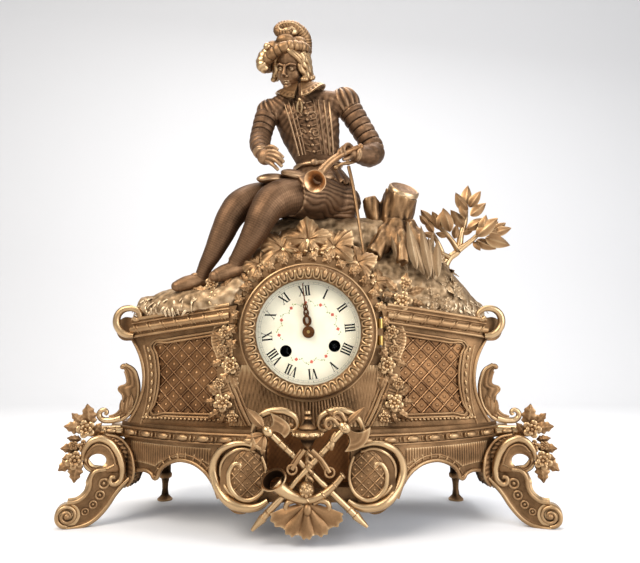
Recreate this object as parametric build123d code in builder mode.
"""Figural mantel clock: bowed gilt case on scroll feet, seated figure, striking movement.

X runs to the viewer's right, Y to the back (the front faces -Y) and Z up from the floor.
"""

import os
from math import atan2, cos, degrees, hypot, radians, sin, sqrt

from build123d import *

os.makedirs("parts", exist_ok=True)

# Case heights and depths
BASE_TOP = 66.0
LEDGE_HIGH = 13.0
LEDGE_TOP = BASE_TOP + LEDGE_HIGH
DIAL_Z = LEDGE_TOP + 71.0
BACK_Y = 64.0
WALL = 4.0
BACK_WALL = 3.0

# Bowed plans: half width, front apex and bow radius
BASE_HALF = 150.0
BASE_APEX = -76.0
BASE_BOW = 222.0
BODY_APEX = -60.0
BODY_BOW = 350.0
BODY_FOOT = 145.0
BODY_WAIST = 131.5
BODY_NECK = 142.0
WAIST_Z = LEDGE_TOP + 36.0
NECK_Z = LEDGE_TOP + 67.0
ARCH_R = 58.0
ARCH_SPRING = 7.0
CORNICE_HIGH = 14.0
CORNICE_OVER = 5.0
CURL_R = 9.5

# Base front: serpentine lower edge and the recess behind the trophy
FOOT_INNER_Z = 26.0
SMALL_ARCH = (130.0, 43.0)
CUSP = (118.0, 38.0)
LARGE_ARCH = (92.0, 54.0)
CARTOUCHE_OUT = (64.0, 28.0)
CARTOUCHE_LOW = (48.0, 20.0)
CARTOUCHE_IN = (33.0, 28.0)
RECESS_HALF = 31.0
RECESS_LOW = 36.0
RECESS_Y = -58.0
RECESS_WALL = 2.5
CARTOUCHE_R = 15.0
CARTOUCHE_THICK = 9.0

# Scroll feet and rear feet
FOOT_TURN = 18.0
FOOT_THICK = 14.0
VOLUTE_R = 10.0
VOLUTE = (189.5, 9.6)
REAR_FOOT = (132.0, 50.0)
REAR_FOOT_R = 7.0

# Mound and what grows on it
MOUND_SHELL = 6.0
STUMP_R = 14.0
LEAF_THICK = 5.0

# Dial opening, rings, glass and hinge
CASE_HOLE = 47.0
FLANGE_R = 50.5
FLANGE_THICK = 2.0
TUBE_OUT = 43.8
TUBE_IN = 42.0
DIAL_R = 41.5
DIAL_THICK = 1.5
DIAL_SEAT = 40.0
DIAL_TURN = 6.0
BEZEL_OUT = 51.6
BEZEL_IN = 39.2
BEZEL_DEEP = 11.5
GLASS_R = 41.3
GLASS_THICK = 1.6
GLASS_RISE = 5.5
GLASS_SEAT = 5.3
GAP = 0.3
HINGE_OUT = 2.0
HINGE_PIN = 0.9
KNUCKLE = 5.0
FIT = 0.05

# Movement: plates and train levels, all as Y of the back face of a piece
PLATE_R = 40.5
PLATE_THICK = 2.5
FRONT_PLATE_Y = -48.0
BACK_PLATE_Y = -13.5
SECOND_WHEEL_Y = -44.5
BARREL_Y = -24.0
BARREL_LONG = 18.0
BARREL_R = 15.2
BARREL_WALL = 1.2
BARREL_CAP = 1.4
BARREL_TEETH_THICK = 2.5
WHEEL_THICK = 1.5
CENTRE_WHEEL_Y = -17.8
THIRD_WHEEL_Y = -34.6
ESCAPE_WHEEL_Y = -27.6
PIN_WHEEL_Y = -25.0
WINDING_REACH = 22.3
WINDING_ANGLE = 124.0
WINDING_R = 2.2
WINDING_SQUARE = 3.4
WINDING_HOLE = 4.5
RATCHET_R = 6.0
ARBOR_R = 1.2

# Tooth numbers and modules: wheel teeth, pinion leaves, module
GREAT = (80, 16, 0.425)
SECOND = (72, 12, 0.36)
CENTRE = (96, 8, 0.26)
THIRD = (96, 8, 0.22)
CANNON = (36, 12, 0.5)
HOUR = (40, 10, 0.48)
STRIKE = (60, 10, 0.3)
PIN = (72, 8, 0.25)
ESCAPE_TEETH = 36
ESCAPE_R = 9.0
PALLET_CLEAR = 0.8

# Pendulum, bell and hammer
PENDULUM_LONG = 119.0
BOB_R = 21.0
BOB_THICK = 8.0
PENDULUM_Y = 3.5
ROD_R = 0.9
BELL_R = 30.0
BELL_Y = 34.0
BELL_DEEP = 20.0
BELL_WALL = 1.6
HAMMER_PLACE = (-31.5, 17.0)
PILLAR_R = 2.5
PILLAR_REACH = 36.5
PILLAR_ANGLES = (-90.0, 6.0, 174.0, 62.0)


def facing(y, x=0.0, z=0.0, turn=0.0):
    """Returns a plane that faces the viewer at depth y, turned anticlockwise by turn degrees."""
    return Plane(origin=(x, y, z), x_dir=(cos(radians(turn)), 0, sin(radians(turn))), z_dir=(0, -1, 0))


def movement(y):
    """Returns the dial's plane at depth y, with the slight turn that the movement has in its case."""
    return facing(y, 0, DIAL_Z, DIAL_TURN)


def turned(place):
    """Returns the world x and z of a place given on the movement's own plane."""
    c, s = cos(radians(DIAL_TURN)), sin(radians(DIAL_TURN))
    return place[0] * c - place[1] * s, DIAL_Z + place[0] * s + place[1] * c


def polar(reach, angle):
    """Returns the place at a reach and an angle in degrees."""
    return reach * cos(radians(angle)), reach * sin(radians(angle))


def meet(first, first_reach, second, second_reach, side):
    """Returns the place at two given reaches from two places, on the left (1) or right (-1) side."""
    dx, dy = second[0] - first[0], second[1] - first[1]
    apart = hypot(dx, dy)
    along = (first_reach**2 - second_reach**2 + apart**2) / (2 * apart)
    across = side * sqrt(first_reach**2 - along**2)
    ux, uy = dx / apart, dy / apart
    return first[0] + along * ux - across * uy, first[1] + along * uy + across * ux


def bow(x, apex, radius):
    """Returns the y of a bowed front at x."""
    return apex + radius - sqrt(radius**2 - x**2)


def bowed(low, high, half, apex, radius, back):
    """Returns an upright prism with a bowed front, straight sides and a straight back."""
    end = bow(half, apex, radius)
    with BuildPart() as prism:
        with BuildSketch(Plane.XY.offset(low)):
            with BuildLine():
                ThreePointArc((-half, end), (0, apex), (half, end))
                Polyline((half, end), (half, back), (-half, back), (-half, end))
            make_face()
        extrude(amount=high - low)
    return prism.part


def disc(plane, radius, thick, place=(0, 0), bore=0.0):
    """Returns a flat disc or ring on a plane, grown along the plane's normal."""
    with BuildPart() as body:
        with BuildSketch(plane):
            with Locations(place):
                Circle(radius)
                if bore:
                    Circle(bore, mode=Mode.SUBTRACT)
        extrude(amount=thick)
    return body.part


def ball(centre, radius):
    """Returns a ball at a place."""
    with BuildPart() as body:
        with Locations(centre):
            Sphere(radius)
    return body.part


def limb(stations):
    """Returns a round tapering solid through stations of ((x, y, z), radius)."""
    points = [Vector(*point) for point, _ in stations]
    last = len(points) - 1
    with BuildPart() as tube:
        for index, (_, radius) in enumerate(stations):
            along = points[min(index + 1, last)] - points[max(index - 1, 0)]
            side = along.cross(Vector(0.31, 0.9, 0.23))
            with BuildSketch(Plane(origin=points[index], x_dir=side, z_dir=along)):
                Circle(radius)
        loft()
    return tube.part


def leaf(plane, root, tip, width, thick):
    """Returns a flat pointed leaf from root to tip on a plane, bounded by two arcs."""
    dx, dy = tip[0] - root[0], tip[1] - root[1]
    length = hypot(dx, dy)
    mid = (root[0] + dx / 2, root[1] + dy / 2)
    bulge = (-dy / length * width / 2, dx / length * width / 2)
    with BuildPart() as blade:
        with BuildSketch(plane):
            with BuildLine():
                ThreePointArc(root, (mid[0] + bulge[0], mid[1] + bulge[1]), tip)
                ThreePointArc(tip, (mid[0] - bulge[0], mid[1] - bulge[1]), root)
            make_face()
        extrude(amount=thick)
    return blade.part


def bar(plane, start, end, width, thick):
    """Returns a flat straight bar between two places on a plane."""
    length = hypot(end[0] - start[0], end[1] - start[1])
    middle = ((start[0] + end[0]) / 2, (start[1] + end[1]) / 2)
    turn = degrees(atan2(end[1] - start[1], end[0] - start[0]))
    with BuildPart() as body:
        with BuildSketch(plane):
            with Locations(Location((middle[0], middle[1]), turn)):
                Rectangle(length, width)
        extrude(amount=thick)
    return body.part


def block(low, high):
    """Returns a box between two corners."""
    size = [b - a for a, b in zip(low, high)]
    with BuildPart() as body:
        with Locations(tuple((a + b) / 2 for a, b in zip(low, high))):
            Box(*size)
    return body.part


def mirrored(part):
    """Returns a part mirrored to the other side of the clock."""
    with BuildPart() as other:
        add(part)
        mirror(about=Plane.YZ, mode=Mode.REPLACE)
    return other.part


def joined(parts, cuts=()):
    """Returns parts fused to one piece with other parts cut from it."""
    with BuildPart() as whole:
        for part in parts:
            add(part)
        for part in cuts:
            add(part, mode=Mode.SUBTRACT)
    return whole.part


def write(name, part):
    """Labels a finished piece and writes it to its own file."""
    part.label = name
    export_step(part, f"parts/{name}.step")


# Base casting: a hollow bowed shell, open behind and below
with BuildPart() as base_casting:
    add(bowed(0, BASE_TOP, BASE_HALF, BASE_APEX, BASE_BOW, BACK_Y))
    add(
        bowed(-1, BASE_TOP + 1, BASE_HALF - WALL, BASE_APEX + WALL, BASE_BOW - WALL, BACK_Y + 1),
        mode=Mode.SUBTRACT,
    )
    for side in (-1, 1):
        with BuildSketch(facing(bow(CARTOUCHE_LOW[0], BASE_APEX, BASE_BOW) + WALL)):
            with Locations((side * CARTOUCHE_LOW[0], (CARTOUCHE_LOW[1] + BASE_TOP) / 2)):
                Ellipse(CARTOUCHE_R, (BASE_TOP - CARTOUCHE_LOW[1]) / 2)
        extrude(amount=CARTOUCHE_THICK)
    with BuildSketch(facing(BACK_Y + 1)):
        with BuildLine():
            outer = BASE_HALF + 1
            for side in (-1, 1):
                ThreePointArc((side * outer, FOOT_INNER_Z), (side * SMALL_ARCH[0], SMALL_ARCH[1]),
                              (side * CUSP[0], CUSP[1]))
                ThreePointArc((side * CUSP[0], CUSP[1]), (side * LARGE_ARCH[0], LARGE_ARCH[1]),
                              (side * CARTOUCHE_OUT[0], CARTOUCHE_OUT[1]))
                ThreePointArc((side * CARTOUCHE_OUT[0], CARTOUCHE_OUT[1]),
                              (side * CARTOUCHE_LOW[0], CARTOUCHE_LOW[1]),
                              (side * CARTOUCHE_IN[0], CARTOUCHE_IN[1]))
            Line((-CARTOUCHE_IN[0], CARTOUCHE_IN[1]), (CARTOUCHE_IN[0], CARTOUCHE_IN[1]))
            Polyline((outer, FOOT_INNER_Z), (outer, -1), (-outer, -1), (-outer, FOOT_INNER_Z))
        make_face()
    extrude(amount=2 * BACK_Y + 40, mode=Mode.SUBTRACT)
    with BuildSketch(facing(RECESS_Y + RECESS_WALL)):
        with Locations((0, (RECESS_LOW + BASE_TOP) / 2)):
            Rectangle(2 * (RECESS_HALF + RECESS_WALL), BASE_TOP - RECESS_LOW)
    extrude(amount=RECESS_Y + RECESS_WALL - BASE_APEX - WALL / 2)
    with BuildSketch(facing(RECESS_Y)):
        with Locations((0, RECESS_LOW + RECESS_WALL + BASE_TOP / 2)):
            Rectangle(2 * RECESS_HALF, BASE_TOP)
    extrude(amount=40, mode=Mode.SUBTRACT)
    with BuildSketch(facing(RECESS_Y + RECESS_WALL + 1)):
        for side in (-1, 1):
            with Locations((side * RECESS_HALF / 2, RECESS_LOW + BASE_TOP / 6)):
                Ellipse(RECESS_HALF / 4, BASE_TOP / 9)
    extrude(amount=RECESS_WALL + 2, mode=Mode.SUBTRACT)

# Ledge: three stepped slabs with a bead between them and a notch behind the trophy
LEDGE_STEPS = ((0.0, 3.5, 1.0), (3.5, 8.0, 4.5), (8.0, LEDGE_HIGH, 2.0))
LEDGE_OPEN = (112.0, -42.0, 52.0)
BOLT = (126.0, 36.0)
BOLT_R = 2.5
with BuildPart() as base_ledge:
    for low, high, over in LEDGE_STEPS:
        add(bowed(BASE_TOP + low, BASE_TOP + high, BASE_HALF + over, BASE_APEX - over, BASE_BOW + over,
                  BACK_Y))
    add(
        block((-LEDGE_OPEN[0], LEDGE_OPEN[1], BASE_TOP - 1), (LEDGE_OPEN[0], LEDGE_OPEN[2], LEDGE_TOP + 1)),
        mode=Mode.SUBTRACT,
    )
    add(
        block((-RECESS_HALF, BASE_APEX - 9, BASE_TOP - 1), (RECESS_HALF, RECESS_Y, LEDGE_TOP + 1)),
        mode=Mode.SUBTRACT,
    )
    for side in (-1, 1):
        with BuildSketch(Plane.XY.offset(BASE_TOP - 1)):
            with Locations((side * BOLT[0], BOLT[1])):
                Circle(BOLT_R + FIT)
        extrude(amount=LEDGE_HIGH + 2, mode=Mode.SUBTRACT)

# Scroll foot: a C-scroll band with a volute, an eyelet and a flower cluster, in a turned plane
FOOT_ORIGIN = (BASE_HALF, bow(BASE_HALF, BASE_APEX, BASE_BOW) + 2)
FOOT_ROWS = (
    (29.6, 92.0, 24.0, 66.0, 13.0),
    (45.0, 76.0, 27.0, 72.0, 12.0),
    (46.6, 58.0, 32.0, 58.0, 12.0),
    (47.5, 43.0, 35.0, 52.0, 11.0),
    (37.5, 34.5, 35.0, 50.0, 10.0),
)
FLOWERS = ((30.0, 74.5, 7.5), (37.0, 51.0, 7.5), (31.0, 61.5, 6.0))
ROUNDELS = ((15.2, 32.0, 4.2), (17.9, 23.5, 3.7), (22.8, 16.7, 3.3), (28.5, 11.5, 2.9), (34.0, 8.6, 2.4))
EYELET = (20.7, 49.5, 6.4, 5.0)
FOOT_INNER = -5.0
foot_plane = Plane(
    origin=(FOOT_ORIGIN[0], FOOT_ORIGIN[1], 0),
    x_dir=(cos(radians(FOOT_TURN)), -sin(radians(FOOT_TURN)), 0),
    z_dir=(-sin(radians(FOOT_TURN)), -cos(radians(FOOT_TURN)), 0),
)
volute_u = (VOLUTE[0] - FOOT_ORIGIN[0]) / cos(radians(FOOT_TURN))
with BuildPart() as right_foot:
    with BuildSketch(foot_plane):
        with BuildLine():
            Spline(
                (volute_u, VOLUTE[1] - VOLUTE_R),
                (27.4, 1.6),
                (16.7, 9.5),
                (7.5, 22.4),
                (FOOT_INNER, 36.0),
            )
            Line((FOOT_INNER, 36.0), (FOOT_INNER, 64.5))
            Spline(
                (FOOT_INNER, 64.5),
                (12, 69),
                (25, 65),
                (32, 55),
                (29.5, 43),
                (25, 36),
                (26, 28),
                (33, 20.8),
                (volute_u, VOLUTE[1] + VOLUTE_R),
            )
            Line((volute_u, VOLUTE[1] + VOLUTE_R), (volute_u, VOLUTE[1] - VOLUTE_R))
        make_face()
        with Locations((volute_u, VOLUTE[1])):
            Circle(VOLUTE_R)
        with Locations(EYELET[:2]):
            Ellipse(EYELET[2], EYELET[3], rotation=20, mode=Mode.SUBTRACT)
    extrude(amount=FOOT_THICK)
    for u, v, radius in ROUNDELS:
        with BuildSketch(foot_plane.offset(FOOT_THICK)):
            with Locations((u, v)):
                Circle(radius)
        extrude(amount=1.5, taper=20)
    for tip_u, tip_v, root_u, root_v, width in FOOT_ROWS:
        add(leaf(foot_plane.offset(2), (root_u, root_v), (tip_u, tip_v), width, FOOT_THICK - 4))
    for u, v, radius in FLOWERS:
        with BuildSketch(foot_plane.offset(2)):
            with Locations((u, v)):
                Circle(radius)
        extrude(amount=FOOT_THICK + 3, taper=18)
    add(block((0, -200, -VOLUTE_R), (250, BACK_Y, 0)), mode=Mode.SUBTRACT)
    add(bowed(-1, BASE_TOP + 40, BASE_HALF, BASE_APEX, BASE_BOW, BACK_Y + 1), mode=Mode.SUBTRACT)
    add(
        bowed(BASE_TOP - GAP, LEDGE_TOP + 40, BASE_HALF + 5, BASE_APEX - 5, BASE_BOW + 5, BACK_Y + 1),
        mode=Mode.SUBTRACT,
    )

# Rear feet: turned columns that carry the ledge
with BuildPart() as rear_foot:
    with BuildSketch(Plane.XZ):
        with BuildLine():
            Polyline((0, 0), (REAR_FOOT_R, 0), (REAR_FOOT_R, 4))
            ThreePointArc((REAR_FOOT_R, 4), (REAR_FOOT_R - 2.2, 9), (REAR_FOOT_R - 3, 14))
            Polyline((REAR_FOOT_R - 3, 14), (REAR_FOOT_R, 17), (REAR_FOOT_R, 24), (REAR_FOOT_R - 2, 27))
            Polyline((REAR_FOOT_R - 2, 27), (REAR_FOOT_R - 2, BASE_TOP), (0, BASE_TOP), (0, 0))
        make_face()
    revolve(axis=Axis.Z)
with BuildPart() as rear_feet:
    with Locations((-REAR_FOOT[0], REAR_FOOT[1], 0), (REAR_FOOT[0], REAR_FOOT[1], 0)):
        add(rear_foot.part)


def case_prism(inset, near, far, floor):
    """Returns the case's front outline, drawn in by inset, as a prism from y near to y far."""
    spring = polar(ARCH_R - inset, ARCH_SPRING)
    neck_z = NECK_Z - inset
    with BuildPart() as prism:
        with BuildSketch(facing(far)):
            with BuildLine():
                for side in (-1, 1):
                    ThreePointArc(
                        (side * (BODY_FOOT - inset), floor),
                        (side * (BODY_WAIST - inset), WAIST_Z),
                        (side * (BODY_NECK - inset), neck_z),
                    )
                    Line((side * (BODY_NECK - inset), neck_z), (side * spring[0], DIAL_Z + spring[1]))
                ThreePointArc(
                    (-spring[0], DIAL_Z + spring[1]),
                    (0, DIAL_Z + ARCH_R - inset),
                    (spring[0], DIAL_Z + spring[1]),
                )
                Line((-BODY_FOOT + inset, floor), (BODY_FOOT - inset, floor))
            make_face()
        extrude(amount=far - near)
    return prism.part


# Case body: a hollow waisted housing with a dial hole in front and a round hole behind
PANEL_INNER = 70.0
PANEL_DEEP = 1.5
BOSS_R = 6.0
BOSS_HIGH = 14.0
SLOT_HALF = 30.0
with BuildPart() as case_shape:
    add(case_prism(0, BODY_APEX - 1, BACK_Y, LEDGE_TOP))
    add(
        bowed(LEDGE_TOP - 1, DIAL_Z + 70, BODY_FOOT + 5, BODY_APEX, BODY_BOW, BACK_Y + 1),
        mode=Mode.INTERSECT,
    )
with BuildPart() as case_hollow:
    add(case_prism(WALL, BODY_APEX - 1, BACK_Y - BACK_WALL, LEDGE_TOP - 1))
    add(
        bowed(LEDGE_TOP - 2, DIAL_Z + 70, BODY_FOOT + 5, BODY_APEX + WALL, BODY_BOW - WALL, BACK_Y + 1),
        mode=Mode.INTERSECT,
    )
with BuildPart() as case_body:
    add(case_shape.part)
    add(case_hollow.part, mode=Mode.SUBTRACT)
    for side in (-1, 1):
        with BuildSketch(Plane.XY.offset(LEDGE_TOP)):
            with Locations((side * BOLT[0], BOLT[1])):
                Circle(BOSS_R)
            with Locations((side * (BOLT[0] + BOSS_R), BOLT[1])):
                Rectangle(2 * BOSS_R, 2 * BOSS_R)
        extrude(amount=BOSS_HIGH)
        with BuildSketch(Plane.XY.offset(LEDGE_TOP - 1)):
            with Locations((side * BOLT[0], BOLT[1])):
                Circle(BOLT_R + FIT)
        extrude(amount=BOSS_HIGH - 1, mode=Mode.SUBTRACT)
    add(case_shape.part, mode=Mode.INTERSECT)
    with BuildSketch(facing(BACK_Y + 1)):
        with Locations((0, DIAL_Z)):
            Circle(CASE_HOLE)
    extrude(amount=2 * BACK_Y, mode=Mode.SUBTRACT)
    with BuildSketch(facing(BACK_Y + 1)):
        with Locations((0, (LEDGE_TOP - 1 + DIAL_Z) / 2)):
            Rectangle(2 * SLOT_HALF, DIAL_Z - LEDGE_TOP + 1)
    extrude(amount=BACK_WALL + 2, mode=Mode.SUBTRACT)
    for side in (-1, 1):
        with BuildSketch(facing(BODY_APEX + 40)):
            with BuildLine():
                ThreePointArc(
                    (side * (BODY_FOOT - 22), LEDGE_TOP + 9),
                    (side * (BODY_WAIST - 14), WAIST_Z),
                    (side * (BODY_NECK - 20), NECK_Z - 6),
                )
                Polyline(
                    (side * (BODY_NECK - 20), NECK_Z - 6),
                    (side * PANEL_INNER, NECK_Z + 2),
                    (side * PANEL_INNER, LEDGE_TOP + 9),
                    (side * (BODY_FOOT - 22), LEDGE_TOP + 9),
                )
            make_face()
    recess = extrude(amount=60, mode=Mode.PRIVATE)
    recess_floor = bowed(
        LEDGE_TOP, DIAL_Z + 20, BODY_FOOT, BODY_APEX + PANEL_DEEP, BODY_BOW - PANEL_DEEP, BACK_Y
    )
    add(recess - recess_floor, mode=Mode.SUBTRACT)

# Cornice: two sloping halves on the shoulders with curled ends
cornice_zone = bowed(
    NECK_Z - 30, DIAL_Z + 40, BODY_NECK + 20, BODY_APEX - CORNICE_OVER, BODY_BOW + CORNICE_OVER, BACK_Y
)
arch_core = disc(facing(BACK_Y + 1, 0, DIAL_Z), ARCH_R, 2 * BACK_Y + 60)
spring_x, spring_z = polar(ARCH_R, ARCH_SPRING)
with BuildPart() as right_cornice:
    with BuildSketch(facing(BACK_Y)):
        with BuildLine():
            Polyline(
                (BODY_NECK + 2, NECK_Z - 0.01),
                (BODY_NECK + 2, NECK_Z + CORNICE_HIGH),
                (spring_x - 10, DIAL_Z + spring_z + CORNICE_HIGH),
                (spring_x - 10, DIAL_Z + spring_z),
                (spring_x, DIAL_Z + spring_z),
                (BODY_NECK, NECK_Z),
                (BODY_NECK + 2, NECK_Z - 0.01),
            )
        make_face()
    extrude(amount=BACK_Y - BODY_APEX + 10)
    with BuildSketch(facing(bow(BODY_NECK, BODY_APEX, BODY_BOW) + 12)):
        with Locations((BODY_NECK + 4, NECK_Z + CORNICE_HIGH / 2)):
            Circle(CURL_R)
    extrude(amount=30)
    add(cornice_zone, mode=Mode.INTERSECT)
    add(arch_core, mode=Mode.SUBTRACT)
    add(case_shape.part, mode=Mode.SUBTRACT)
cornice = joined([right_cornice.part, mirrored(right_cornice.part)])

# Leaf brackets: acanthus scrolls that stand on the ledge ends beside the case
BRACKET_THICK = 12.0
bracket_y = bow(BODY_FOOT, BODY_APEX, BODY_BOW) + 16
bracket_plane = facing(bracket_y)
with BuildPart() as right_bracket:
    with BuildSketch(bracket_plane):
        with BuildLine():
            Spline((134, 112), (141, 122), (150, 120), (151, 108), (160, 101), (156, 92), (165, 90))
            ThreePointArc((165, 90), (166, 80), (156, LEDGE_TOP))
            Line((156, LEDGE_TOP), (140, LEDGE_TOP))
            Line((140, LEDGE_TOP), (134, 112))
        make_face()
    extrude(amount=BRACKET_THICK)
    add(case_shape.part, mode=Mode.SUBTRACT)
    add(base_ledge.part, mode=Mode.SUBTRACT)
leaf_brackets = joined([right_bracket.part, mirrored(right_bracket.part)])
scroll_feet = joined([right_foot.part, mirrored(right_foot.part)], [leaf_brackets])

# Rock mound: a hollow ridge over the cornice and the arch
MOUND_ROWS = (
    (-146.0, 172.0, -24.0, 32.0),
    (-125.0, 186.0, -34.0, 44.0),
    (-100.0, 193.0, -40.0, 50.0),
    (-70.0, 203.0, -46.0, 54.0),
    (-40.0, 223.0, -48.0, 56.0),
    (-5.0, 237.0, -46.0, 56.0),
    (35.0, 240.0, -42.0, 56.0),
    (70.0, 242.0, -38.0, 56.0),
    (100.0, 228.0, -36.0, 52.0),
    (125.0, 200.0, -32.0, 46.0),
    (146.0, 174.0, -24.0, 34.0),
)
MOUND_FOOT = NECK_Z - 10


def ridge(inset):
    """Returns the mound's outer form, drawn in by inset, as a loft through half ellipses."""
    with BuildPart() as form:
        for index, (x, top, near, far) in enumerate(MOUND_ROWS):
            step = inset if index == 0 else (-inset if index == len(MOUND_ROWS) - 1 else 0)
            with BuildSketch(Plane.YZ.offset(x + step)):
                with BuildLine():
                    EllipticalCenterArc(
                        ((near + far) / 2, MOUND_FOOT),
                        (far - near) / 2 - inset,
                        top - inset - MOUND_FOOT,
                        start_angle=0,
                        arc_size=180,
                    )
                    Line((near + inset, MOUND_FOOT), (far - inset, MOUND_FOOT))
                make_face()
        loft()
    return form.part


with BuildPart() as below_cornice:
    with BuildSketch(facing(BACK_Y + 1)):
        with BuildLine():
            Polyline(
                (-BODY_NECK - 20, MOUND_FOOT - 20),
                (BODY_NECK + 20, MOUND_FOOT - 20),
                (BODY_NECK + 20, NECK_Z + CORNICE_HIGH),
                (BODY_NECK + 2, NECK_Z + CORNICE_HIGH),
                (spring_x - 10, DIAL_Z + spring_z + CORNICE_HIGH),
                (-spring_x + 10, DIAL_Z + spring_z + CORNICE_HIGH),
                (-BODY_NECK - 2, NECK_Z + CORNICE_HIGH),
                (-BODY_NECK - 20, NECK_Z + CORNICE_HIGH),
                close=True,
            )
        make_face()
    extrude(amount=2 * BACK_Y + 60)
LEDGE_ROCK = (
    ((-134, -24, 170), 10.0),
    ((-112, -36, 169), 13.0),
    ((-90, -42, 170), 14.5),
    ((-66, -47, 176), 14.0),
    ((-50, -46, 188), 11.0),
)
ridge_form = joined([ridge(0), limb(LEDGE_ROCK)])
rock_mound = joined([ridge_form], [ridge(MOUND_SHELL), below_cornice.part, arch_core, cornice])
mound_full = joined([ridge_form], [])

# Figure: torso, head with plumed cap, arms and legs
TORSO_ROWS = (
    (236.0, 14.0, 2.0, 17.0, 14.0),
    (246.0, 14.0, -1.0, 27.0, 21.0),
    (260.0, 12.0, -3.0, 29.0, 22.0),
    (278.0, 9.0, -5.0, 24.0, 18.0),
    (295.0, 7.0, -5.0, 19.0, 14.0),
    (315.0, 1.0, -7.0, 25.0, 17.0),
    (334.0, -3.0, -9.0, 29.0, 17.0),
    (347.0, -5.0, -9.0, 26.0, 13.0),
    (356.0, -7.0, -9.0, 10.0, 9.0),
    (363.0, -9.0, -10.0, 7.5, 7.5),
)
with BuildPart() as figure_torso:
    for z, x, y, wide, deep in TORSO_ROWS:
        with BuildSketch(Plane.XY.offset(z)):
            with Locations((x, y)):
                Ellipse(wide, deep)
    loft()
    add(mound_full, mode=Mode.SUBTRACT)

head_form = joined(
    [
        ball((-15, -12, 381), 16.5),
        limb([((-21.5, -20.5, 357), 5.5), ((-20, -18, 363), 9.5), ((-17, -14, 374), 14.0)]),
        limb([((-24, -31, 369), 1.2), ((-22, -29.5, 371), 2.4), ((-20, -27, 380), 1.4)]),
    ]
)
cap_form = joined(
    [
        limb([((-22, -14, 384), 18.0), ((-21, -13, 391), 19.5), ((-19, -12, 397), 16.0),
              ((-17, -10, 402), 11.0)]),
        limb([((-8, -4, 388), 7.0), ((-9, -5, 398), 7.5), ((-11, -8, 408), 8.0), ((-18, -13, 412), 7.0),
              ((-24, -16, 411), 5.0)]),
        limb([((-42, -14, 377), 4.0), ((-38, -14, 383), 6.5), ((-30, -14, 389), 6.0)]),
    ]
)
figure_head = joined([head_form, cap_form], [figure_torso.part])

figure_right_arm = joined(
    [
        ball((-35, -13, 337), 11.0),
        limb([((-36, -14, 336), 8.5), ((-40, -19, 322), 7.8), ((-41, -24, 310), 7.6), ((-40, -33, 301), 6.8),
              ((-38, -42, 294), 5.2)]),
        limb([((-39, -41, 296), 5.2), ((-35, -46, 291), 6.2), ((-28, -48, 286), 5.2),
              ((-22, -49, 281), 3.2)]),
    ],
    [figure_torso.part],
)
figure_left_arm = joined(
    [
        ball((31, -6, 349), 12.5),
        limb([((32, -6, 348), 10.0), ((43, -8, 329), 9.2), ((53, -11, 311), 8.6), ((55, -14, 304), 9.5),
              ((48, -22, 299), 9.0), ((38, -31, 297), 6.0)]),
        limb([((40, -29, 297), 5.0), ((33, -35, 295), 6.0), ((28, -38, 294), 4.0)]),
    ],
    [figure_torso.part],
)
inner_leg = joined(
    [
        limb([((14, -8, 262), 17.0), ((-8, -32, 262), 17.0), ((-30, -48, 256), 14.5),
              ((-38, -53, 246), 12.5), ((-47, -53, 230), 11.5), ((-57, -51, 210), 6.8),
              ((-60, -50, 199), 6.4)]),
        limb([((-50, -45, 199), 5.5), ((-58, -49, 197), 6.4), ((-66, -54, 194), 5.4),
              ((-75, -58, 191), 2.8)]),
    ],
    [figure_torso.part],
)
outer_leg = joined(
    [
        limb([((-4, -8, 260), 13.0), ((-30, -24, 262), 14.0), ((-57, -38, 257), 12.5),
              ((-69, -43, 246), 11.5), ((-77, -43, 230), 10.5), ((-86, -42, 206), 6.6),
              ((-88, -41, 193), 6.2)]),
        limb([((-80, -38, 190), 5.5), ((-88, -41, 189), 6.2), ((-97, -45, 187), 5.2),
              ((-106, -48, 184), 2.8)]),
    ],
    [figure_torso.part, inner_leg],
)
figure_left_leg = joined([inner_leg], [mound_full, figure_right_arm])
figure_right_leg = joined([outer_leg], [mound_full, figure_right_arm])

# Hunting horn with an open bell, and the rapier at the side
HORN_WALL = 1.2
horn_line = [((40, -35, 300), 4.2), ((29, -40, 296), 4.0), ((18, -46, 287), 4.2), ((9, -51, 276), 5.0),
             ((5, -56, 268), 8.4)]
bell_line = [((12, -49.5, 280), 2.6), ((9, -51, 276), 5.0 - HORN_WALL), ((5, -56, 268), 8.4 - HORN_WALL)]
hunting_horn = joined([limb(horn_line)], [limb(bell_line), figure_torso.part, figure_left_arm, inner_leg])
rapier = joined(
    [
        limb([((31, -22, 297), 2.6), ((35, -28, 275), 2.4), ((41, -42, 230), 1.8), ((46, -53, 187), 1.1)]),
        ball((30, -20, 299), 4.0),
        limb([((20, -24, 292), 1.8), ((31, -22, 295), 2.4), ((42, -18, 298), 1.8)]),
    ],
    [figure_torso.part, figure_left_arm, hunting_horn, mound_full],
)

# Stump, foliage spray and vine leaves on the mound
stump_form = joined(
    [
        limb([((70, 2, 232), STUMP_R + 6), ((70, 2, 245), STUMP_R + 1), ((74, 1, 260), STUMP_R - 1),
              ((77, -1, 274), STUMP_R)]),
        limb([((58, -2, 240), 8.0), ((53, -3, 258), 6.5), ((51, -4, 268), 6.0)]),
    ]
)
tree_stump = joined([stump_form], [mound_full])
SPRAY_LEAVES = (
    ((131, 226), (118, 252), 12),
    ((132, 232), (140, 279), 14),
    ((133, 232), (158, 264), 14),
    ((132, 226), (172, 236), 13),
    ((131, 220), (163, 214), 12),
    ((130, 226), (98, 246), 12),
    ((128, 218), (97, 228), 11),
    ((133, 240), (150, 246), 10),
)
spray_plane = facing(8)
foliage_spray = joined(
    [bar(spray_plane, (126, 190), (132, 240), 6, LEAF_THICK)]
    + [leaf(spray_plane, root, tip, width, LEAF_THICK) for root, tip, width in SPRAY_LEAVES],
    [mound_full],
)
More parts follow.
